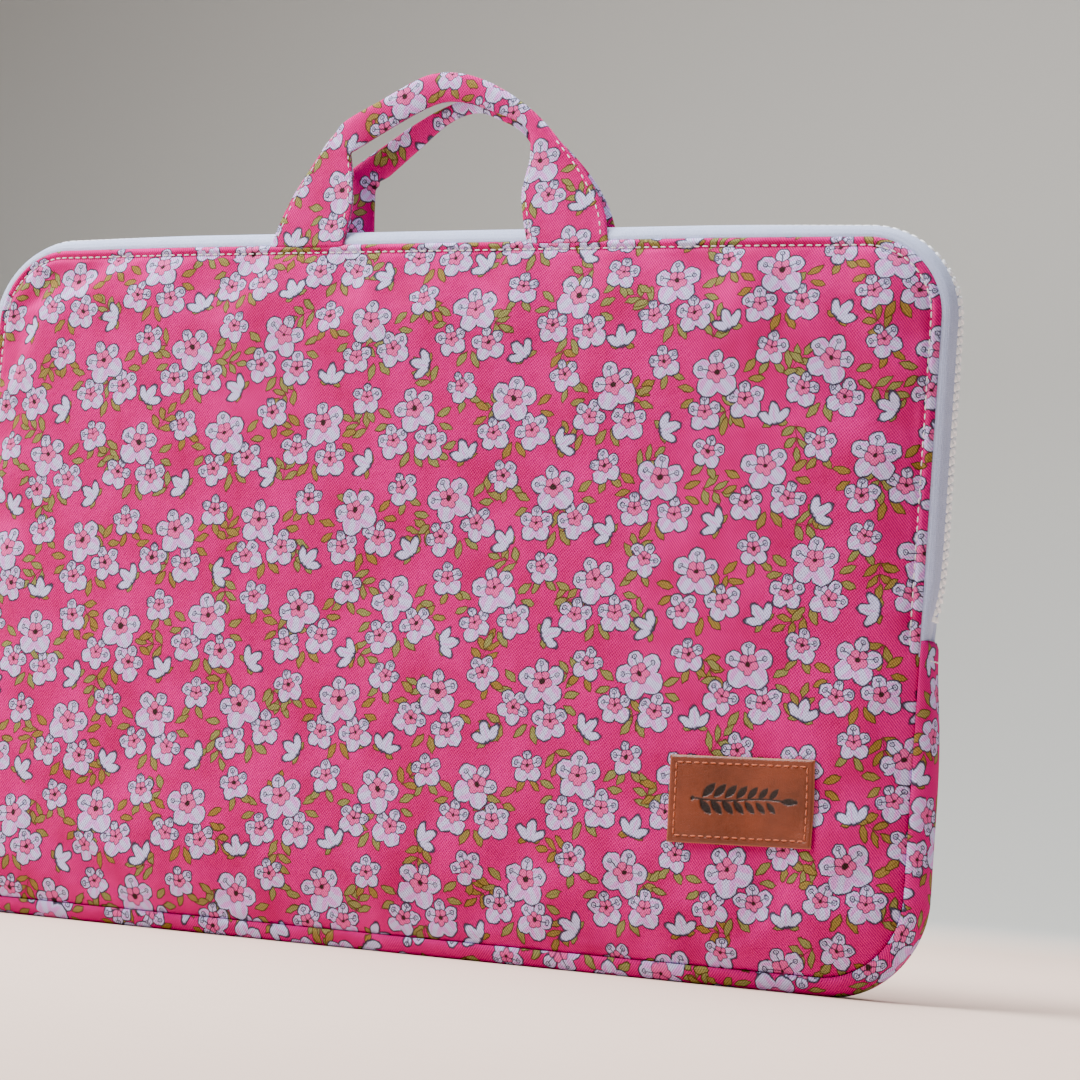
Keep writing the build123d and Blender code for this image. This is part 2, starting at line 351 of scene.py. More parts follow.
def leafShape(x, y, foot, lean, length, width):
    # negative inside a pointed leaf that starts at foot and leans away from straight up
    cosine, sine = math.cos(lean), math.sin(lean)
    down = (x - foot[0]) * sine + (y - foot[1]) * cosine
    side = (x - foot[0]) * cosine - (y - foot[1]) * sine
    half = down * (2 / length) - 1
    return abs(side) - (1 - half * half) * width, abs(side)


def paintLeaves(colour, x, y, leaves, chance):
    # the same leaves on both sides of the middle line
    body = rib = None
    for leaf in leaves:
        shape, middle = leafShape(abs(x), y, *leaf)
        vein = middle.most(shape)
        body, rib = (shape, vein) if body is None else (body.least(shape), rib.least(vein))
    gold = chance.below(0.35, 0.3).paint(printLook["leaf"], printLook["leafGold"])
    colour = body.below(0.0, 0.12).paint(colour, gold)
    colour = (rib.below(0.07, 0.08) * 0.5).paint(colour, printLook["leafLine"])
    return (abs(body).below(0.19, 0.11) * printLook["outline"]).paint(colour, printLook["leafLine"])


def paintCluster(wire, colour, across, along, cell):
    x, y, (first, second, third) = scatter(wire, across, along, cell)
    swing = (third - 0.5) * cell["swing"]
    x, y = turned(x, y, swing)
    colour = paintLeaves(colour, x, y, cell["leaves"], second)
    for number, (paint, right, up, size) in enumerate(cell["flowers"]):
        tilt = (reroll(first, number) - 0.5) * cell["sway"]
        flowerX, flowerY = turned(x - right, y - up, tilt)
        colour = paint(wire, colour, flowerX, flowerY, reroll(second, number), size)
    return colour


def paintSprig(wire, colour, across, along, cell):
    x, y, (_, second, third) = scatter(wire, across, along, cell)
    x, y = turned(x, y, third * (2 * math.pi))
    y = y + x * (second - 0.5) * 0.5
    stem = abs(x).most(abs(y + 0.5) - 3.4)
    colour = (stem.below(0.14, 0.09) * 0.8).paint(colour, printLook["leafLine"])
    return paintLeaves(colour, x, y, cell["leaves"], second)


layout = {"width": 34.5, "height": 30.0, "turn": -0.12}
sprigs = {
    "width": 27.0, "height": 23.0, "turn": 0.35, "drift": (7.0, 6.0), "seed": 3.0, "offset": (0, 0),
    "leaves": [((0.2, -3.4), 0.95, 5.6, 1.15), ((0.2, 0.0), 0.8, 5.0, 1.05), ((0.0, 2.6), 0.0, 4.8, 1.1)],
}
# three flowers together, then one flower and one bud in the gaps between the threes
clusters = [
    dict(layout, drift=(1.6, 1.2), seed=41.0, offset=(0, 0), swing=0.7, sway=0.9,
         leaves=[((0.8, -8.6), 2.6, 6.0, 1.25), ((8.2, 2.6), 1.05, 5.6, 1.2), ((9.2, 0.2), 1.9, 5.0, 1.1)],
         flowers=[(paintFlower, -6.9, -4.9, 6.2), (paintFlower, 6.3, -5.4, 6.6),
                  (paintFlower, 0.0, 5.4, 8.3)]),
    dict(layout, drift=(2.0, 1.6), seed=67.0, offset=(17.2, 10.5), swing=0.9, sway=0.5,
         leaves=[((0.9, -4.4), 2.45, 4.8, 1.15)],
         flowers=[(paintFlower, 0.0, 0.0, 5.9)]),
    dict(layout, drift=(2.0, 1.6), seed=23.0, offset=(4.0, 19.5), swing=3.0, sway=0.5,
         leaves=[((0.3, -1.6), 1.75, 3.8, 0.95)],
         flowers=[(paintBud, 0.0, -2.2, 7.6)]),
]


def printedCloth():
    material, wire = newMaterial("printedTwill", Sheen_Weight=0.02, Specular_IOR_Level=0.06)
    across, along, spot = clothPlace(wire)
    waver = wire.cloud(spot, 0.42, 1.5, "2D", "Color")
    shiftU, shiftV, _ = wire.node("SeparateColor", {}, {0: waver}, out=(0, 1, 2))
    shrink = 1 / printLook["scale"]
    drawnU, drawnV = (across + (shiftU - 0.5) * 1.1) * shrink, (along + (shiftV - 0.5) * 1.1) * shrink
    deep = wire.cloud(spot, 0.05, 4.0, "2D").below(0.5, 0.25)
    colour = deep.paint(printLook["ground"], printLook["groundDeep"])
    colour = paintSprig(wire, colour, drawnU, drawnV, sprigs)
    for cell in clusters:
        colour = paintCluster(wire, colour, drawnU, drawnV, cell)
    turns = 2 * math.pi / printLook["twillPitch"]
    ridge = ((across + along * printLook["slant"]) * turns).sin()
    thread = ((across - along) * (turns / 1.4)).sin()
    fleck = wire.cloud(spot, 2.2, 2.0, "2D")
    # painted shade: along the twill's diagonal lines the print is multiplied by weaveTint, as the weave's
    # shade; random flecks of tone are mixed into the same mask
    weave = (ridge * 0.5 + 0.5) * 0.85 + fleck * 0.15
    twillShadeAndFlecks = wire.node("Mix", {"data_type": "RGBA", "blend_type": "MULTIPLY"},
                     {0: weave, 6: colour, 7: printLook["weaveTint"]}, out=2)
    relief = ridge * 0.6 + thread * 0.25 + wire.cloud(spot, 0.35, 3.0, "2D") * 1.6
    return cover(material, twillShadeAndFlecks, fleck * 0.15 + 0.78, relief, 1.0, 0.14 * mm)


def plainCloth(name, colour, deep, pitch):
    material, wire = newMaterial(name, Roughness=0.85, Sheen_Weight=0.2, Specular_IOR_Level=0.25)
    across, along, spot = clothPlace(wire)
    turns = 2 * math.pi / pitch
    weave = (across * turns).sin() * (along * turns).sin()
    cloud = wire.cloud(spot, 0.12, 5.0, "2D")
    mix = (weave * 0.2 + 0.5).most(0.0) * cloud * 1.6
    return cover(material, mix.paint(deep, colour), None, weave + cloud, 0.8, 0.06 * mm)


def zipTapeCloth():
    # ribs run along the tape, with fine herringbone threads between them
    material, wire = newMaterial("zipTapeWeave", Roughness=0.75, Sheen_Weight=0.3, Specular_IOR_Level=0.3)
    along, across, spot = clothPlace(wire)
    rib = (across * (2 * math.pi / 1.6)).sin()
    slant = ((along + abs(rib) * 0.5) * (2 * math.pi / 0.62)).sin()
    relief = rib * 0.15 + slant * 0.6
    dirt, speckle = wire.cloud(spot, 0.2, 4.0, "2D"), wire.cloud(spot, 1.5, 2.0, "2D")
    tone = (relief * 0.2 + 0.1 + dirt * 0.3 + speckle * 0.6).paint(shade(150, 166, 210), shade(204, 216, 250))
    return cover(material, tone, None, relief, 0.9, 0.12 * mm)


def mouldedPlastic(name, light, dark, roughness):
    material, wire = newMaterial(name, Specular_IOR_Level=0.5)
    place = wire.node("TexCoord", {}, {}, out="Object")
    cloud = wire.cloud(place, 900.0, 3.0)
    return cover(material, cloud.paint(dark, light), cloud * 0.15 + roughness, cloud, 0.3, 0.04 * mm)


def threadMaterial(name, light, dark):
    material, wire = newMaterial(name, Roughness=0.7, Sheen_Weight=0.4)
    place = wire.node("TexCoord", {}, {}, out="Object")
    x, y, z = wire.node("SeparateXYZ", {}, {0: place}, out=(0, 1, 2))
    twist = ((x + z * 0.9 + y * 0.5) * (2 * math.pi / (0.5 * mm))).sin() * 0.5 + 0.5
    return cover(material, twist.paint(dark, light), None, twist, 0.6, 0.1 * mm)


def satinMetal():
    material, wire = newMaterial("satinNickel", Metallic=1.0)
    place = wire.node("TexCoord", {}, {}, out="Object")
    stretched = wire.node("Mapping", {}, {"Vector": place, "Scale": (900.0, 900.0, 60.0)})
    brushed, smear = wire.cloud(stretched, 1.0, 4.0), wire.cloud(place, 260.0, 2.0)
    tone = smear.paint(shade(176, 174, 170), shade(222, 220, 216))
    return cover(material, tone, brushed * 0.25 + smear * 0.1 + 0.18, brushed, 0.3, 0.03 * mm)


def labelLeather():
    material, wire = newMaterial("brownLeather", Specular_IOR_Level=0.45)
    place = wire.node("TexCoord", {}, {}, out="Object")
    pores = wire.node("TexVoronoi", {"feature": "DISTANCE_TO_EDGE"}, {"Vector": place, "Scale": 1100.0})
    grain, cloud = wire.cloud(place, 420.0, 6.0), wire.cloud(place, 60.0, 4.0)
    tone = (cloud * 0.9 + grain * 0.35 - 0.15).paint(shade(66, 24, 10), shade(134, 60, 27))
    for mark, strength, colour in (("pressed", 0.97, shade(14, 10, 11)), ("rim", 0.55, shade(196, 118, 84))):
        share = wire.node("Attribute", {"attribute_name": mark}, {}, out="Fac")
        tone = (share * strength).paint(tone, colour)
    relief = pores.below(0.10, 0.08) * -0.6 + grain
    return cover(material, tone, grain * 0.25 + 0.32, relief, 0.5, 0.12 * mm)


def stageMaterial():
    material, wire = newMaterial("paleStage", Roughness=0.9, Specular_IOR_Level=0.2)
    place = wire.node("TexCoord", {}, {}, out="Object")
    _, behind, _ = wire.node("SeparateXYZ", {}, {0: place}, out=(0, 1, 2))
    floorTone = (wire.cloud(place, 60.0, 5.0) * 0.25).paint(shade(228, 204, 190), shade(216, 190, 174))
    wall = behind.below(view["wallBehind"] * 0.45, 0.35)
    return cover(material, wall.paint(shade(236, 237, 233), floorTone))


# making pieces
def letGo():
    if bpy.context.object and bpy.context.object.mode != "OBJECT":
        bpy.ops.object.mode_set(mode="OBJECT")
    bpy.ops.object.select_all(action="DESELECT")


def pick(piece):
    letGo()
    piece.select_set(True)
    bpy.context.view_layer.objects.active = piece


def applyModifier(piece, kind, **settings):
    pick(piece)
    modifier = piece.modifiers.new(kind.title(), kind)
    for key, value in settings.items():
        setattr(modifier, key, value)
    bpy.ops.object.modifier_apply(modifier=modifier.name)


def subdivide(piece, levels):
    applyModifier(piece, "SUBSURF", levels=levels, render_levels=levels)


def settle(piece, edges=None):
    # place, turn and scale go into the mesh; the surface is smooth, or sharp past edges degrees
    pick(piece)
    bpy.ops.object.transform_apply(location=True, rotation=True, scale=True)
    bpy.ops.object.shade_smooth()
    if edges:
        bpy.ops.object.shade_smooth_by_angle(angle=math.radians(edges))
    return piece


def faceOut(piece):
    pick(piece)
    bpy.ops.object.mode_set(mode="EDIT")
    bpy.ops.mesh.select_all(action="SELECT")
    bpy.ops.mesh.remove_doubles(threshold=0.01 * mm)
    bpy.ops.mesh.normals_make_consistent(inside=False)
    bpy.ops.object.mode_set(mode="OBJECT")


def finish(piece, material, slotName, body, *nodes):
    # a body of "bend" is the front, which bends where the zip ends; here its transform only goes into its
    # mesh; without a body the piece is left unparented
    piece.data.materials.clear()
    piece.data.materials.append(material)
    if body == "bend":
        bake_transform(piece)
    elif body:
        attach(piece, body)
    if nodes:
        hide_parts(*nodes)
    return piece


def clothGrid(name, columns, rows, place, cut):
    # a grid laid out by place(u, v), with its flat size in metres as its UV map
    letGo()
    bpy.ops.mesh.primitive_grid_add(x_subdivisions=columns, y_subdivisions=rows, size=1)
    piece = bpy.context.object
    piece.name = piece.data.name = name
    mesh = piece.data
    flat = [(v.co.x + 0.5, v.co.y + 0.5) for v in mesh.vertices]
    for vertex, (u, v) in zip(mesh.vertices, flat):
        vertex.co = place(u, v)
    layer = mesh.uv_layers[0]
    layer.name = "UVMap"
    for loop in mesh.loops:
        layer.data[loop.index].uv = cut(*flat[loop.vertex_index])
    return piece


def joinPieces(name, parts):
    letGo()
    for part in parts:
        part.select_set(True)
    bpy.context.view_layer.objects.active = parts[0]
    bpy.ops.object.join()
    piece = bpy.context.object
    piece.name = piece.data.name = name
    return piece


def joinCopies(name, model, places):
    # copies of a small model, each at its own matrix, as one piece; the model goes
    copies = []
    for place in places:
        copy = model.copy()
        copy.data = model.data.copy()
        bpy.context.scene.collection.objects.link(copy)
        copy.data.transform(place)
        copies.append(copy)
    bpy.data.objects.remove(model)
    return joinPieces(name, copies)


def smooth(value, low, high):
    t = min(max((value - low) / (high - low), 0), 1)
    return t * t * (3 - 2 * t)


def ripple(point, size, seed):
    return noise.noise(Vector((point[0] / size + seed, point[1] / size, point[2] / size)))


# the outline that every seam follows: down the left side, round, and back over the top
def outlineRuns():
    across = 2 * (seamSide - cornerRadius)
    bend = cornerRadius * math.pi / 2
    left, right = -seamSide + cornerRadius, seamSide - cornerRadius
    low, high = seamBottom + cornerRadius, seamTop - cornerRadius
    return [
        ("line", (-seamSide, zipEnd), (0, -1), zipEnd - low),
        ("arc", (left, low), math.pi, bend),
        ("line", (left, seamBottom), (1, 0), across),
        ("arc", (right, low), 1.5 * math.pi, bend),
        ("line", (seamSide, low), (0, 1), zipEnd - low),
        ("line", (seamSide, zipEnd), (0, 1), high - zipEnd),
        ("arc", (right, high), 0, bend),
        ("line", (right, seamTop), (-1, 0), across),
        ("arc", (left, high), 0.5 * math.pi, bend),
        ("line", (-seamSide, high), (0, -1), high - zipEnd),
    ]


runs = outlineRuns()
gussetLength = sum(run[3] for run in runs[:5])
zipLength = sum(run[3] for run in runs[5:])
outlineLength = gussetLength + zipLength


def outlineAt(distance):
    # point on the seam line (x, z), its outward normal and its heading
    left = distance
    for number, (kind, start, way, length) in enumerate(runs):
        if left <= length or number == len(runs) - 1:
            break
        left -= length
    if kind == "line":
        point = Vector((start[0] + way[0] * left, 0, start[1] + way[1] * left))
        heading = Vector((way[0], 0, way[1]))
        return point, Vector((way[1], 0, -way[0])), heading
    angle = way + left / cornerRadius
    out = Vector((math.cos(angle), 0, math.sin(angle)))
    point = Vector((start[0], 0, start[1])) + out * cornerRadius
    return point, out, Vector((-out.z, 0, out.x))


def sideShare(x):
    return smooth(abs(x), 100 * mm, seamSide)


def depthAt(x):
    # half the distance between the front and back seams
    return seamDepth - sideSlim * sideShare(x)


pinch = {"share": 0.70, "above": 15 * mm, "below": 22 * mm}


def pinchAt(point):
    # on the right side the band is drawn in where the zip runs under the folded end of the gusset
    if point.x < 0:
        return 1
    reach = pinch["above"] if point.z > zipEnd else pinch["below"]
    return 1 - pinch["share"] * math.exp(-((point.z - zipEnd) / reach) ** 2)


def crownAt(point):
    return (crownRise - crownDrop * sideShare(point.x)) * pinchAt(point)


def bandPlace(distance, out, y):
    point, normal, _ = outlineAt(distance)
    return Vector((point.x + normal.x * out, y, point.z + normal.z * out))


def insetOf(x, z):
    # distance from the seam line to a point on a panel
    dx = abs(x) - (seamSide - cornerRadius)
    dz = abs(z - seamMiddle) - (seamHalf - cornerRadius)
    if dx > 0 and dz > 0:
        return cornerRadius - math.hypot(dx, dz)
    return cornerRadius - max(dx, dz)


# the padded panels
panel = {
    "columns": 96,
    "rows": 64,
    "edgeShare": 0.25,        # how much finer the grid is at the seam
    "plump": 4.9 * mm,
    "roundOff": 6.0 * mm,
    "weltWidth": 3.3 * mm,
    "weltRise": 1.15 * mm,
    "groove": 0.9 * mm,
    "padThickness": 4.4 * mm,
    "seamShare": 0.22,        # how much of that thickness is left at the seam
    "held": 5 * mm,           # the simulation leaves this much of the edge where it is
    "steps": 20,
    "mostMove": 2.2 * mm,
}
clothSettings = {
    "quality": 5,
    "mass": 0.15,
    "tension_stiffness": 18,
    "compression_stiffness": 18,
    "bending_stiffness": 1.5,
    "vertex_group_mass": "held",
    "shrink_min": -0.012,
    "use_pressure": True,
    "uniform_pressure_force": 1.1,
}


# soft dents, in millimetres from the panel's middle: where one starts, its heading in degrees, its length,
# its width and its depth
dents = [
    ((187, -15), 184, 52, 7, 1.5),
    ((187, 60), 163, 46, 9, 1.5),
    ((150, -98), 118, 60, 11, 1.3),
    ((178, -60), 196, 40, 8, 1.1),
    ((-55, 96), -64, 62, 13, 1.1),
    ((60, 104), -118, 48, 12, 1.0),
    ((-125, -92), 58, 74, 15, 1.2),
    ((-186, 24), -9, 66, 12, 1.2),
    ((40, 14), 203, 120, 20, 1.1),
    ((-20, -60), 172, 84, 17, 1.0),
]


def dentAt(x, z, side):
    # a valley with a low ridge above it, faded in and out along its length
    total = 0
    for (startX, startZ), heading, length, width, depth in dents:
        angle = math.radians(heading)
        dx, dz = -side * x / mm - startX, (z - seamMiddle) / mm - startZ
        ahead = dx * math.cos(angle) + dz * math.sin(angle)
        off = abs(dz * math.cos(angle) - dx * math.sin(angle))
        fade = smooth(ahead, -6, 8) * (1 - smooth(ahead, length * 0.45, length))
        if fade > 0 and off < 4 * width:
            valley = math.exp(-(off / width) ** 2)
            ridge = 0.4 * math.exp(-((off - 1.7 * width) / width) ** 2)
            total += fade * depth * (valley - ridge)
    return total * mm


def panelSpot(u, v):
    # where a grid point lies on the rounded outline; the grid is finer towards the seam
    def spread(t, half):
        s = 2 * t - 1
        near = 1 - abs(s)
        inset = half * (panel["edgeShare"] * near + (1 - panel["edgeShare"]) * near * near)
        return math.copysign(half - inset, s)
    x, z = spread(u, seamSide), spread(v, seamHalf)
    dx, dz = abs(x) - (seamSide - cornerRadius), abs(z) - (seamHalf - cornerRadius)
    if dx > 0 and dz > 0:
        reach = max(dx, dz)
        angle = dz / reach * math.pi / 4 if dx >= dz else math.pi / 2 - dx / reach * math.pi / 4
        x = math.copysign(seamSide - cornerRadius + reach * math.cos(angle), x)
        z = math.copysign(seamHalf - cornerRadius + reach * math.sin(angle), z)
    return x, z + seamMiddle


def padShare(vertex):
    # how thick the padding is at a point of a panel: thin at the seam
    inset = max(insetOf(vertex.co.x, vertex.co.z), 0)
    return panel["seamShare"] + (1 - panel["seamShare"]) * smooth(inset, 0, 14 * mm)


def weltHeight(z, inset):
    # the folded edge outside the topstitch; the seam below the zip has none
    share = smooth(z, zipEnd - 4 * mm, zipEnd + 2 * mm)
    width = panel["weltWidth"]
    across = (inset - width / 2) / (width / 2)
    rise = panel["weltRise"] * math.sqrt(max(0, 1 - across * across)) if abs(across) < 1 else 0
    dip = panel["groove"] * math.exp(-((inset - width) / (1.0 * mm)) ** 2)
    return share * (rise - dip)


def blowUp(piece):
    # soft unevenness of foam under cloth: a short cloth simulation held at its stitched edge
    start = [v.co.copy() for v in piece.data.vertices]
    held = piece.vertex_groups.new(name="held")
    edge = [v.index for v in piece.data.vertices if insetOf(v.co.x, v.co.z) < panel["held"]]
    held.add(edge, 1.0, "REPLACE")
    cloth = piece.modifiers.new("Cloth", "CLOTH")
    for key, value in clothSettings.items():
        setattr(cloth.settings, key, value)
    cloth.settings.effector_weights.gravity = 0
    cloth.point_cache.frame_start = 1
    cloth.point_cache.frame_end = panel["steps"]
    for step in range(1, panel["steps"] + 1):
        bpy.context.scene.frame_set(step)
    pick(piece)
    bpy.ops.object.modifier_apply(modifier=cloth.name)
    for vertex, old in zip(piece.data.vertices, start):
        move = vertex.co - old
        if move.length > panel["mostMove"]:
            vertex.co = old + move * (panel["mostMove"] / move.length)
    bpy.context.scene.frame_set(1)
    piece.vertex_groups.clear()


def makePanel(name, side, seed):
    def place(u, v):
        x, z = panelSpot(u, v)
        inset = insetOf(x, z)
        plump = panel["plump"] * (1 - math.exp(-inset / panel["roundOff"]))
        uneven = 0.6 * ripple((x, z, 0), 45 * mm, seed) + 0.25 * ripple((x, z, 0), 19 * mm, seed + 4)
        plump += uneven * mm * smooth(inset, 0, 15 * mm) - dentAt(x, z, side) * smooth(inset, 1 * mm, 7 * mm)
        return (x, side * (depthAt(x) + plump), z)

    piece = clothGrid(name, panel["columns"], panel["rows"], place, panelSpot)
    if side > 0:
        pick(piece)
        bpy.ops.object.mode_set(mode="EDIT")
        bpy.ops.mesh.select_all(action="SELECT")
        bpy.ops.mesh.flip_normals()
        bpy.ops.object.mode_set(mode="OBJECT")
    blowUp(piece)
    subdivide(piece, 1)
    for vertex in piece.data.vertices:
        x, z = vertex.co.x, vertex.co.z
        vertex.co.y += side * weltHeight(z, max(insetOf(x, z), 0))
    return piece


def makeLining(name, outer, side):
    # the panel's inner cloth, a thickness of padding behind the outer one
    pick(outer)
    bpy.ops.object.duplicate()
    piece = bpy.context.object
    piece.name = piece.data.name = name
    for vertex in piece.data.vertices:
        vertex.co.y -= side * (panel["padThickness"] * padShare(vertex) + 0.25 * mm)
    applyModifier(piece, "DECIMATE", decimate_type="UNSUBDIV", iterations=2)
    applyModifier(piece, "SOLIDIFY", thickness=0.5 * mm, offset=-1.0)
    return piece


def thickenPanel(piece):
    weights = piece.vertex_groups.new(name="pad")
    for vertex in piece.data.vertices:
        weights.add([vertex.index], padShare(vertex), "REPLACE")
    applyModifier(piece, "SOLIDIFY", thickness=panel["padThickness"], offset=-1.0, vertex_group="pad")
    piece.vertex_groups.clear()


# bands that follow the outline: gusset, its lining, zip tapes, bindings
def makeBand(name, begin, length, columns, rows, section, wide, thickness=0):
    # section(across 0 to 1, place on the outline) gives (out, y)
    def place(u, v):
        distance = begin + u * length
        point, _, _ = outlineAt(distance)
        out, y = section(v, point, u)
        return bandPlace(distance, out, y)

    piece = clothGrid(name, columns, rows, place, lambda u, v: (u * length, v * wide))
    if thickness:
        applyModifier(piece, "SOLIDIFY", thickness=thickness, offset=-1.0)
    return piece


gusset = {
    "columns": 300,
    "rows": 18,
    "thickness": 1.1 * mm,
    "foldOver": 2.2 * mm,      # the folded end laps over the zip by this much
    "endRound": 3.2 * mm,      # the fold is rounded off over this length
    "overTape": 0.5 * mm,
    "wide": 24 * mm,           # round its curve
    "liningWide": 18 * mm,
}


def gussetSection(v, point, u):
    angle = (v - 0.5) * math.pi
    half, crown = depthAt(point.x), crownAt(point)
    y = half * math.copysign(abs(math.sin(angle)) ** 0.92, angle)
    out = crown * abs(math.cos(angle)) ** 0.72
    fromEnd = min(u, 1 - u) * (gussetLength + 2 * gusset["foldOver"])
    short = max(0, 1 - fromEnd / gusset["endRound"])
    out = (out + gusset["overTape"] * math.cos(angle)) * (0.40 + 0.60 * math.sqrt(1 - short * short))
    soft = 0.35 * mm * ripple((point.x, y * 2, point.z), 22 * mm, 5) * math.cos(angle)
    if point.z < 20 * mm and abs(point.x) < seamSide - cornerRadius:
        soft = min(soft, 0)
    return out + soft, y


def makeGusset():
    lap = gusset["foldOver"]
    piece = makeBand("gussetBand", -lap, gussetLength + 2 * lap, gusset["columns"], gusset["rows"],
                     gussetSection, gusset["wide"], gusset["thickness"])
    for vertex in piece.data.vertices:
        vertex.co.z = max(vertex.co.z, 0)
    return settle(piece)


def makeGussetLining():
    def section(v, point, u):
        half = depthAt(point.x) - 1.0 * mm
        return -0.6 * mm + 1.6 * mm * math.sin(v * math.pi) * (2 * pinchAt(point) - 1), (2 * v - 1) * half
    return settle(makeBand("gussetLining", 0, gussetLength, 150, 6, section, gusset["liningWide"], 0.6 * mm))


zipper = {
    "pitch": 3.1 * mm,
    "toothLong": 1.5 * mm,
    "toothReach": 0.55 * mm,     # a head reaches past the middle by this much
    "toothFoot": 2.9 * mm,
    "toothTall": 2.2 * mm,
    "stopLong": 2.0 * mm,
    "sink": 1.1 * mm,            # the row's middle lies this far under the band's crown
    "bareRight": 9.0 * mm,       # bare tape between the gusset's fold and the stop on the right side
    "stopGap": 1.2 * mm,
    "stopWide": 2.5 * mm,
    "tapeUnder": 3 * mm,         # tape hidden under each fold
    "tapeWide": 9.5 * mm,
}
firstTooth = gussetLength + zipper["bareRight"] + zipper["stopLong"] + zipper["stopGap"]
lastTooth = outlineLength - zipper["stopLong"] - zipper["stopGap"]


def chain(points, share):
    # a point at a share of the way along a line of points
    spans = [(Vector(b) - Vector(a)).length for a, b in zip(points, points[1:])]
    left = share * sum(spans)
    for (a, b), span in zip(zip(points, points[1:]), spans):
        if left <= span or b == points[-1]:
            return Vector(a).lerp(Vector(b), min(left / span, 1))
        left -= span


def makeTape(name, side):
    begin, length = gussetLength - zipper["tapeUnder"], zipLength + 2 * zipper["tapeUnder"]

    def section(v, point, u):
        half, crown = depthAt(point.x), crownAt(point)
        distance = begin + u * length
        toothed = smooth(distance, firstTooth - 2.5 * mm, firstTooth - 0.5 * mm)
        toothed *= 1 - smooth(distance, lastTooth + 0.5 * mm, lastTooth + 2.5 * mm)
        points = [(-0.8 * mm, half - 0.3 * mm), (0.6 * mm, half - 0.1 * mm),
                  (min(2.2 * mm, crown * 0.5), half - 0.9 * mm), (crown - 1.9 * mm, half * 0.66),
                  (crown - 1.25 * mm, half * 0.48), (crown - zipper["sink"], 0.1 * mm + 1.8 * mm * toothed)]
        out, y = chain(points, v)
        return out, side * y
    piece = makeBand(name, begin, length, 300, 12, section, zipper["tapeWide"], 0.7 * mm)
    faceOut(piece)
    return settle(piece)


def makeBinding(name, side):
    def section(v, point, u):
        angle = v * 2 * math.pi
        half = depthAt(point.x)
        return -3.4 * mm + 1.5 * mm * math.cos(angle), side * (half - 1.9 * mm + 0.8 * mm * math.sin(angle))
    piece = makeBand(name, 0, outlineLength, 260, 10, section, 8 * mm)
    faceOut(piece)
    return settle(piece)


# zip teeth, stops, slider and pull
# the neck, the head, the foot that grips the tape and its end: from and to in millimetres behind the
# middle line, and how much longer and taller they are than the block that they are cut from
toothParts = [(-1.5, -0.5, 0.66, 1), (0, 9, 0.86, 0.72), (-9, -1.5, 1.68, 1), (-9, -2.5, 1, 0.80)]


def toothModel():
    # local x along the zip, y towards the other row, z out of the sleeve
    letGo()
    bpy.ops.mesh.primitive_cube_add(size=1)
    piece = bpy.context.object
    long, tall = zipper["toothLong"], zipper["toothTall"]
    foot, head = -zipper["toothFoot"], zipper["toothReach"]
    piece.scale = (long, head - foot, tall)
    piece.location = (0, (head + foot) / 2, 0)
    bpy.ops.object.transform_apply(location=True, rotation=False, scale=True)
    bpy.ops.object.mode_set(mode="EDIT")
    for behind in (-1.0 * mm, -1.9 * mm):
        bpy.ops.mesh.select_all(action="SELECT")
        bpy.ops.mesh.bisect(plane_co=(0, behind, 0), plane_no=(0, 1, 0))
    bpy.ops.object.mode_set(mode="OBJECT")
    for vertex in piece.data.vertices:
        for low, high, longer, taller in toothParts:
            if low * mm < vertex.co.y < high * mm:
                vertex.co.x *= longer
                vertex.co.z *= taller
    applyModifier(piece, "BEVEL", width=0.24 * mm, segments=1, limit_method="ANGLE",
                  angle_limit=math.radians(30))
    return piece


def zipMatrix(distance, side, lift):
    point, out, heading = outlineAt(distance)
    middle = point + out * (crownAt(point) + lift)
    across = Vector((0, -side, 0))
    turn = Matrix((heading, across, out)).transposed().to_4x4()
    return Matrix.Translation(middle) @ turn


def makeTeeth(name, side):
    first = firstTooth + (zipper["pitch"] / 2 if side > 0 else 0)
    count = int((lastTooth - first) / zipper["pitch"]) + 1
    places = [zipMatrix(first + n * zipper["pitch"], side, -zipper["sink"]) for n in range(count)]
    piece = joinCopies(name, toothModel(), places)
    faceOut(piece)
    return settle(piece, 60)


def makeStops(name, side):
    letGo()
    bpy.ops.mesh.primitive_cube_add(size=1)
    model = bpy.context.object
    model.scale = (zipper["stopLong"], zipper["stopWide"], zipper["toothTall"])
    bpy.ops.object.transform_apply(location=False, rotation=False, scale=True)
    applyModifier(model, "BEVEL", width=0.45 * mm, segments=3, limit_method="NONE")
    half = zipper["stopLong"] / 2
    places = [zipMatrix(distance, side, -zipper["sink"]) @ Matrix.Translation((0, -1.9 * mm, 0))
              for distance in (gussetLength + zipper["bareRight"] + half, outlineLength - half)]
    return settle(joinCopies(name, model, places))


sliderLow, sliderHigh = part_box("zip_slider")
pullLow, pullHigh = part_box("pull_tab")
slider = {
    "plate": 1.2 * mm,
    "corner": 2.6 * mm,
    "edge": 0.35 * mm,
    "taper": 0.16,             # narrower at the lower end, where the zip comes out closed
    "bailRise": 1.9 * mm,
    "bailRadius": 2.9 * mm,
    "bailThick": 0.62 * mm,
    "pullThick": 1.3 * mm,
}


def roundedPlate(name, size, place, corner, bevel):
    letGo()
    bpy.ops.mesh.primitive_cube_add(size=1, location=place)
    piece = bpy.context.object
    piece.name = piece.data.name = name
    piece.scale = size
    bpy.ops.object.transform_apply(location=True, rotation=False, scale=True)
    thin = min(range(3), key=lambda axis: size[axis])
    weights = piece.data.attributes.new("bevel_weight_edge", "FLOAT", "EDGE")
    for edge in piece.data.edges:
        a, b = (piece.data.vertices[i].co for i in edge.vertices)
        weights.data[edge.index].value = 1.0 if abs((b - a)[thin]) > 0.5 * size[thin] else 0.0
    applyModifier(piece, "BEVEL", width=corner, segments=6, limit_method="WEIGHT")
    applyModifier(piece, "BEVEL", width=bevel, segments=2, limit_method="ANGLE", angle_limit=math.radians(50))
    return piece


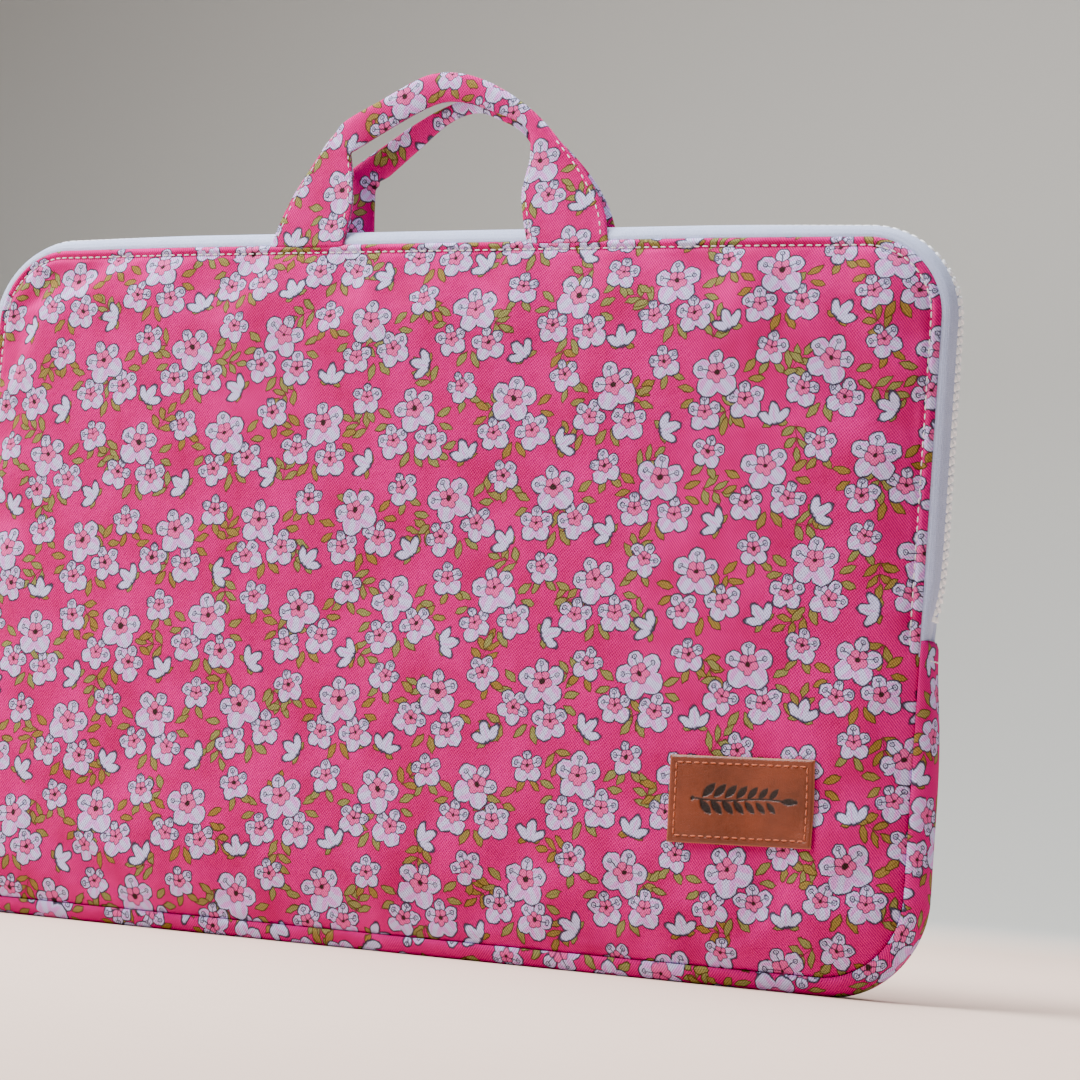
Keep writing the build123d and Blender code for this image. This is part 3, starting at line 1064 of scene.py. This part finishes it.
def makeSlider():
    middle = (sliderLow.z + sliderHigh.z) / 2
    long, wide = sliderHigh.z - sliderLow.z, sliderHigh.y - sliderLow.y
    plate, corner, edge = slider["plate"], slider["corner"], slider["edge"]
    plateFace = sliderLow.x + plate + slider["bailRise"]
    outer = roundedPlate("outerPlate", (plate, wide, long), (plateFace + plate / 2, 0, middle), corner, edge)
    inner = roundedPlate("innerPlate", (plate, wide - 1 * mm, long), (sliderHigh.x - plate / 2, 0, middle),
                         corner, edge)
    for half in (outer, inner):
        for vertex in half.data.vertices:
            drop = (middle - vertex.co.z) / (long / 2)
            vertex.co.y *= 1 - slider["taper"] * smooth(drop, -0.2, 1)
    letGo()
    bpy.ops.mesh.primitive_torus_add(major_radius=slider["bailRadius"], minor_radius=slider["bailThick"],
                                     major_segments=40, minor_segments=12, location=(plateFace, 0, middle),
                                     rotation=(math.pi / 2, 0, 0))
    bail = bpy.context.object
    bpy.ops.object.transform_apply(location=True, rotation=True, scale=True)
    for vertex in bail.data.vertices:
        vertex.co.y *= 1.35
        vertex.co.z = middle + (vertex.co.z - middle) * 1.08
        vertex.co.x = plateFace + (vertex.co.x - plateFace) * 0.86
    return settle(joinPieces("zipSlider", [outer, inner, bail]), 40)


def makePull():
    size = pullHigh - pullLow
    middle = (pullLow + pullHigh) / 2
    tab = roundedPlate("zipPull", (slider["pullThick"], size.y, size.z), middle, 2.2 * mm, 0.3 * mm)
    # a slot for the bail and a longer hole below it, cut right through
    cuts = ((3.0, 5.2, pullHigh.z - 3.4 * mm, 1.2), (3.6, 9, pullLow.z + 8 * mm, 1.7))
    for wide, long, height, corner in cuts:
        hole = (6 * mm, wide * mm, long * mm)
        cutter = roundedPlate("cutter", hole, (middle.x, 0, height), corner * mm, 0.1 * mm)
        applyModifier(tab, "BOOLEAN", operation="DIFFERENCE", object=cutter, solver="EXACT")
        bpy.data.objects.remove(cutter)
    for vertex in tab.data.vertices:
        share = (vertex.co.z - pullLow.z) / size.z
        vertex.co.y *= 0.80 + 0.20 * smooth(1 - share, 0.1, 0.9)
    return settle(tab, 35)


# stitches
def stitchModel(long, thick):
    letGo()
    bpy.ops.mesh.primitive_uv_sphere_add(segments=8, ring_count=6, radius=0.5, rotation=(0, math.pi / 2, 0))
    piece = bpy.context.object
    piece.scale = (thick, thick, long)
    bpy.ops.object.transform_apply(location=False, rotation=True, scale=True)
    for vertex in piece.data.vertices:           # fuller ends than a plain ball has
        share = abs(vertex.co.x) / (long / 2)
        fuller = min(1.35, 1 / math.sqrt(max(0.15, 1 - 0.55 * share * share)))
        vertex.co.y *= fuller
        vertex.co.z *= fuller
    return piece


def lieAlong(point, heading, out):
    heading = heading.normalized()
    out = (out - heading * out.dot(heading)).normalized()
    side = out.cross(heading)
    return Matrix.Translation(point) @ Matrix((heading, side, out)).transposed().to_4x4()


def surfaceOf(piece):
    mesh = piece.data
    return BVHTree.FromPolygons([v.co for v in mesh.vertices], [p.vertices for p in mesh.polygons])


def onPanel(tree, x, z, side):
    hit, normal, _, _ = tree.ray_cast(Vector((x, side * 0.1, z)), Vector((0, -side, 0)))
    return hit, normal


thread = {
    "pitch": 3.1 * mm,
    "long": 2.15 * mm,
    "thick": 0.62 * mm,
    "uneven": 0.05,
}


def makeTopstitch(name, side, tree):
    places = []
    for n in range(int(zipLength / thread["pitch"])):
        point, out, heading = outlineAt(gussetLength + (n + 0.5) * thread["pitch"])
        spot = point - out * panel["weltWidth"]
        hit, normal = onPanel(tree, spot.x, spot.z, side)
        if hit is None:
            continue
        tilt = heading + Vector((0, 0, random.uniform(-thread["uneven"], thread["uneven"])))
        places.append(lieAlong(hit + normal * 0.12 * mm, tilt, normal))
    return settle(joinCopies(name, stitchModel(thread["long"], thread["thick"]), places))


def makeEndStitches(tree):
    # one bar across each folded end of the gusset
    places = []
    for sign in (-1, 1):
        for y in (-4.2, -1.4, 1.4, 4.2):
            start = Vector((sign * 0.3, y * mm, zipEnd - 4 * mm))
            hit, normal, _, _ = tree.ray_cast(start, Vector((-sign, 0, 0)))
            if hit:
                places.append(lieAlong(hit + normal * 0.1 * mm, Vector((0, 1, 0.03)), normal))
    return settle(joinCopies("gussetEndStitches", stitchModel(2.0 * mm, 0.6 * mm), places))


# handles
handleLow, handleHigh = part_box("front_handle")
handle = {
    "middleX": (handleLow.x + handleHigh.x) / 2,
    "foot": seamTop - 1.5 * mm,
    "bendFrom": seamTop + 1 * mm,
    "bendTo": seamTop + 12 * mm,
    "lean": math.asin(8.1 / 62),         # towards the other handle, in its height of 62 mm
    "footDepth": 9.9 * mm,
    "legThick": 2.4 * mm,
    "gripThick": 5.6 * mm,
    "gripStart": (0.20, 0.27),           # the strap folds up over these shares of its length
    "gripEnd": (0.70, 0.82),
    "creases": [(2.6, 0.235, 0.016, 0.35), (-1.2, 0.77, 0.025, 0.5)],     # height in mm, place, spread, pivot
    # outer edge and inner edge of the strap, station by station, in millimetres from the middle of the foot
    "front": [((-69, 0), (-38, 0)), ((-63.5, 17.5), (-37, 15)), ((-57, 31), (-38.5, 27)),
              ((-49.5, 44.5), (-40, 36)), ((-43.5, 50.8), (-34.5, 40.8)), ((-30, 58), (-23.5, 47.4)),
              ((-14, 66.2), (-9.5, 54.4)), ((-1, 66.6), (1, 55.2)), ((14, 61.5), (14, 51.4)),
              ((31, 50.6), (29, 44.3)), ((45, 37), (32, 33)), ((57, 23.5), (31, 20)),
              ((64, 11.5), (33, 9.5)), ((67, 0), (36, 0))],
    "back": [((-68, 0), (-36.5, 0)), ((-63, 13), (-36, 10)), ((-56, 24), (-36, 19)),
             ((-47.5, 32), (-35.5, 27.5)), ((-39.5, 37.5), (-30, 30.8)), ((-24, 46.7), (-18, 40)),
             ((-10, 54), (-6, 49.2)), ((3, 57.6), (5, 52.6)), ((15, 56.5), (14, 50)),
             ((27, 50.4), (24, 44.5)), ((38, 42), (30, 35)), ((50, 30), (32, 23)),
             ((58.5, 17), (33, 11)), ((63.5, 0), (34.5, 0))],
}


def between(points, share):
    # smooth curve through points (Catmull-Rom), at a share of its length in stations
    last = len(points) - 1
    place = min(max(share, 0), 1) * last
    n = min(int(place), last - 1)
    t = place - n
    p1, p2 = Vector(points[n]), Vector(points[n + 1])
    p0 = Vector(points[n - 1]) if n > 0 else p1 * 2 - p2
    p3 = Vector(points[n + 2]) if n + 2 <= last else p2 * 2 - p1
    return 0.5 * (2 * p1 + (p2 - p0) * t + (2 * p0 - 5 * p1 + 4 * p2 - p3) * t * t
                  + (3 * p1 - p0 - 3 * p2 + p3) * t ** 3)


def handleSpot(shape, side, share, across, off):
    # across: 0 outer edge to 1 inner edge; off: out of the strap's own plane, towards the viewer of that side
    stations = handle[shape]
    outer = between([s[0] for s in stations], share)
    inner = between([s[1] for s in stations], share)
    flat = outer.lerp(inner, across) * mm
    lean = handle["lean"]
    depth = handle["footDepth"] - flat.y * math.sin(lean) + off
    return Vector((handle["middleX"] + flat.x, side * depth, handle["foot"] + flat.y * math.cos(lean)))


def gripShare(share):
    # 0 on the flat legs, 1 on the folded grip
    return smooth(share, *handle["gripStart"]) * (1 - smooth(share, *handle["gripEnd"]))


def handleOff(share, across):
    grip = gripShare(share)
    thick = handle["legThick"] * (1 - grip) + handle["gripThick"] * grip
    # on the grip the strap is folded over: full and round at the outer edge, thinner at its hems
    fullness = 1 - grip * 0.45 * across
    return thick / 2 * fullness


def strapAcross(share, v):
    # how far across the strap a place round its section is, 0 at the outer edge and 1 at the inner one
    grip, around = gripShare(share), math.cos(v * 2 * math.pi)
    return 0.5 - 0.5 * math.copysign(abs(around) ** (0.38 * (1 - grip) + 0.8 * grip), around)


def makeHandle(name, shape, side):
    def place(u, v):
        across, rise = strapAcross(u, v), math.sin(v * 2 * math.pi)
        off = math.copysign(abs(rise) ** (0.5 + 0.4 * gripShare(u)), rise) * handleOff(u, across)
        spot = handleSpot(shape, side, u, across, 0)
        off += 0.5 * mm * ripple((spot.x, 0, spot.z), 16 * mm, 3 + side)
        for height, station, spread, pivot in handle["creases"]:
            off += height * mm * math.exp(-((u - station) / spread) ** 2) * (across - pivot)
        return handleSpot(shape, side, u, across, off)

    def cut(u, v):
        spot = handleSpot(shape, side, u, strapAcross(u, v), 0)
        return spot.x + 0.61 + side * 0.17, spot.z + (0 if v < 0.5 else 0.21)

    piece = clothGrid(name, 150, 28, place, cut)
    faceOut(piece)
    pick(piece)
    bpy.ops.object.mode_set(mode="EDIT")
    bpy.ops.mesh.select_all(action="DESELECT")
    bpy.ops.mesh.select_non_manifold(extend=False)
    bpy.ops.mesh.edge_face_add()
    bpy.ops.object.mode_set(mode="OBJECT")
    return settle(piece)


def makeHandleStitches(name, shape, side, tree):
    # a row along each edge of the legs; the folded grip has none
    places = []
    steps = 400
    for edge in (0.07, 0.93):
        spots = [handleSpot(shape, side, 0.012 + n * 0.976 / steps, edge, 0) for n in range(steps + 1)]
        gone = 0
        for number, (spot, ahead) in enumerate(zip(spots, spots[1:])):
            gone += (ahead - spot).length
            if gone < thread["pitch"] or gripShare(number / steps) > 0.4:
                continue
            gone = 0
            hit, normal, _, _ = tree.ray_cast(spot + Vector((0, side * 0.03, 0)), Vector((0, -side, 0)))
            if hit:
                places.append(lieAlong(hit + normal * 0.08 * mm, ahead - spot, normal))
    return settle(joinCopies(name, stitchModel(thread["long"] * 0.9, thread["thick"] * 0.75), places))


# label
labelLow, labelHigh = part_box("leather_label")
label = {
    "middle": (labelLow + labelHigh) / 2,
    "wide": 50 * mm,
    "tall": 29 * mm,
    "turn": math.radians(1.4),
    "thick": 1.5 * mm,
    "press": 0.28 * mm,
    "seam": 2.4 * mm,          # the stitches' distance from the edge
    "stitch": 2.8 * mm,
}
labelRight = Vector((math.cos(label["turn"]), 0, math.sin(label["turn"])))
labelUp = Vector((-math.sin(label["turn"]), 0, math.cos(label["turn"])))


def leafGap(x, y, foot, lean, length, width):
    # distance outside a pressed leaf; negative inside it
    c, s = math.cos(lean), math.sin(lean)
    down = (x - foot[0]) * c + (y - foot[1]) * s
    side = (y - foot[1]) * c - (x - foot[0]) * s
    half = (down - length / 2) / (length / 2)
    return abs(side) - (1 - half * half) * width


def labelPress(x, y):
    # a plain leafy sprig with a few berries, pressed into the middle
    x, y = x / mm, y / mm - 0.4
    shapes = [abs(y - 0.5 * math.sin(x / 5)) + max(0, abs(x) - 15.5) - 0.38]
    for n, foot in enumerate((-14, -10.2, -6.4, -2.6, 1.2, 5.0, 8.8)):
        for sign in (-1, 1):
            start = (foot + (0.9 if sign > 0 else 0), 0.3)
            shapes.append(leafGap(x, sign * y, start, 0.86, 6.6 - 0.25 * n, 1.45 - 0.06 * n))
    shapes.append(leafGap(x, y, (13.6, 0), 0, 6.0, 1.25))
    for place in (-16.4, 18.9):
        shapes.append(math.hypot(x - place, y) - 0.8)
    return smooth(-min(shapes), -0.15, 0.25)


def labelEase(x, y):
    # distance in from the label's edge
    return min(label["wide"] / 2 - abs(x), label["tall"] / 2 - abs(y))


def makeLabel(tree):
    wide, tall, middle = label["wide"], label["tall"], label["middle"]

    def place(u, v):
        x, y = (u - 0.5) * wide, (v - 0.5) * tall
        spot = middle + labelRight * x + labelUp * y
        hit, _ = onPanel(tree, spot.x, spot.z, -1)
        ease = labelEase(x, y)
        rolled = 0.45 * mm * (1 - smooth(ease, 0, 0.9 * mm))
        press = label["press"] * labelPress(x, y)
        rib = 0.16 * mm * math.exp(-((ease - label["seam"]) / (0.5 * mm)) ** 2)
        under = hit.y if hit else -panelDepth
        return (spot.x, under - label["thick"] + rolled + press + rib, spot.z)

    piece = clothGrid("leatherLabel", 170, 100, place, lambda u, v: (u * wide, v * tall))
    pressed = piece.data.attributes.new("pressed", "FLOAT", "POINT")
    rim = piece.data.attributes.new("rim", "FLOAT", "POINT")
    for vertex in piece.data.vertices:
        offset = vertex.co - middle
        x, y = offset.dot(labelRight), offset.dot(labelUp)
        pressed.data[vertex.index].value = labelPress(x, y)
        rim.data[vertex.index].value = 1 - smooth(labelEase(x, y), 0, 0.5 * mm)
    applyModifier(piece, "SMOOTH", factor=0.5, iterations=1)
    applyModifier(piece, "SOLIDIFY", thickness=label["thick"] - 0.1 * mm, offset=-1.0)
    return settle(piece)


def makeLabelStitches(tree):
    halfWide, halfTall = label["wide"] / 2 - label["seam"], label["tall"] / 2 - label["seam"]
    places = []
    for start, way, length in (((-1, -1), labelRight, 2 * halfWide), ((1, -1), labelUp, 2 * halfTall),
                               ((1, 1), -labelRight, 2 * halfWide), ((-1, 1), -labelUp, 2 * halfTall)):
        count = round(length / label["stitch"])
        corner = label["middle"] + labelRight * start[0] * halfWide + labelUp * start[1] * halfTall
        for n in range(count):
            spot = corner + way * (n + 0.5) * length / count
            hit, normal = onPanel(tree, spot.x, spot.z, -1)
            if hit:
                places.append(lieAlong(hit + normal * 0.1 * mm, way, normal))
    return settle(joinCopies("labelStitches", stitchModel(2.0 * mm, 0.55 * mm), places))


# floor
def makeStage():
    reach, front, cove = view["floorReach"], view["floorFront"], view["coveRadius"]
    flat = view["wallBehind"] + front - cove

    def place(u, v):
        x = (u - 0.5) * 2 * reach
        run = v * (view["wallBehind"] + front + view["wallTall"])
        if run < flat:
            return (x, run - front, 0)
        bend = min((run - flat) / cove, math.pi / 2)
        rest = max(run - flat - cove * math.pi / 2, 0)
        return (x, flat - front + cove * math.sin(bend), cove * (1 - math.cos(bend)) + rest)

    piece = clothGrid("studioFloor", 8, 120, place, lambda u, v: (u, v))
    settle(piece)
    piece.data.materials.append(stageMaterial())


# everything together
addCamera()
addLights()
makeStage()
print("camera, lights and floor are in place")

printed = printedCloth()
liningCloth = plainCloth("greyLining", shade(150, 148, 156), shade(104, 102, 112), 0.8)
bindingCloth = plainCloth("bindingTape", shade(92, 88, 98), shade(60, 58, 66), 0.7)
tapeCloth = zipTapeCloth()
toothPlastic = mouldedPlastic("toothPlastic", shade(252, 253, 255), shade(236, 240, 250), 0.30)
whiteThread = threadMaterial("whiteThread", shade(246, 242, 244), shade(206, 198, 204))
tanThread = threadMaterial("tanThread", shade(214, 104, 44), shade(140, 58, 24))
nickel = satinMetal()
leather = labelLeather()
print("materials are mixed")


def padFace(name, liningName, side, seed, body, shells, linings):
    # a padded panel with its lining; gives back its outer surface, for the stitches and the label
    outer = makePanel(name, side, seed)
    lining = makeLining(liningName, outer, side)
    tree = surfaceOf(outer)
    thickenPanel(outer)
    finish(settle(outer), printed, "print_cloth", body, *shells)
    finish(settle(lining), liningCloth, "lining_cloth", body, *linings)
    print(name, "is padded")
    return tree


frontTree = padFace("frontPanel", "frontLining", -1, 2, "bend",
                    ["front_shell_upper", "front_shell_lower", "front_padding_upper", "front_padding_lower"],
                    ["front_lining_upper", "front_lining_lower"])
backTree = padFace("backPanel", "backLining", 1, 9, "sleeve", ["back_shell", "back_padding"], ["back_lining"])

gussetBand = makeGusset()
gussetTree = surfaceOf(gussetBand)
finish(gussetBand, printed, "print_cloth", "sleeve", "gusset_shell", "gusset_padding")
gussetLining = finish(makeGussetLining(), liningCloth, "lining_cloth", "sleeve", "gusset_lining")
finish(makeEndStitches(gussetTree), whiteThread, "white_thread", "sleeve", "gusset_end_stitches")
print("gusset is wrapped round")

finish(makeBinding("frontBinding", -1), bindingCloth, "binding_tape", "bend",
       "front_binding_upper", "front_binding_lower")
finish(makeBinding("backBinding", 1), bindingCloth, "binding_tape", "sleeve", "back_binding")

faces = (("front", -1, "front_flap"), ("back", 1, "sleeve"))
for make, word, material, slotName in ((makeTape, "Tape", tapeCloth, "zip_tape"),
                                       (makeTeeth, "Teeth", toothPlastic, "zip_teeth"),
                                       (makeStops, "Stops", toothPlastic, "zip_teeth")):
    for face, side, body in faces:
        finish(make(face + word, side), material, slotName, body, face + "_zip_" + word.lower())
finish(makeSlider(), nickel, "slider_metal", "slider", "zip_slider")
finish(makePull(), nickel, "slider_metal", "slider_pull", "pull_tab")
print("zip is closed")

finish(makeTopstitch("frontTopstitch", -1, frontTree), whiteThread, "white_thread", "bend", "front_topstitch")
finish(makeTopstitch("backTopstitch", 1, backTree), whiteThread, "white_thread", "sleeve", "back_topstitch")

for face, side, carrier in faces:
    strap = makeHandle(face + "Handle", face, side)
    stitches = makeHandleStitches(face + "HandleStitches", face, side, surfaceOf(strap))
    finish(strap, printed, "print_cloth", None, face + "_handle")
    finish(stitches, whiteThread, "white_thread", None)
    for piece in (strap, stitches):
        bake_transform(piece)
print("handles are sewn in")

labelPiece = finish(makeLabel(frontTree), leather, "label_leather", "sleeve", "leather_label")
finish(makeLabelStitches(surfaceOf(labelPiece)), tanThread, "tan_thread", "sleeve", "label_stitching")
print("label is stitched on")
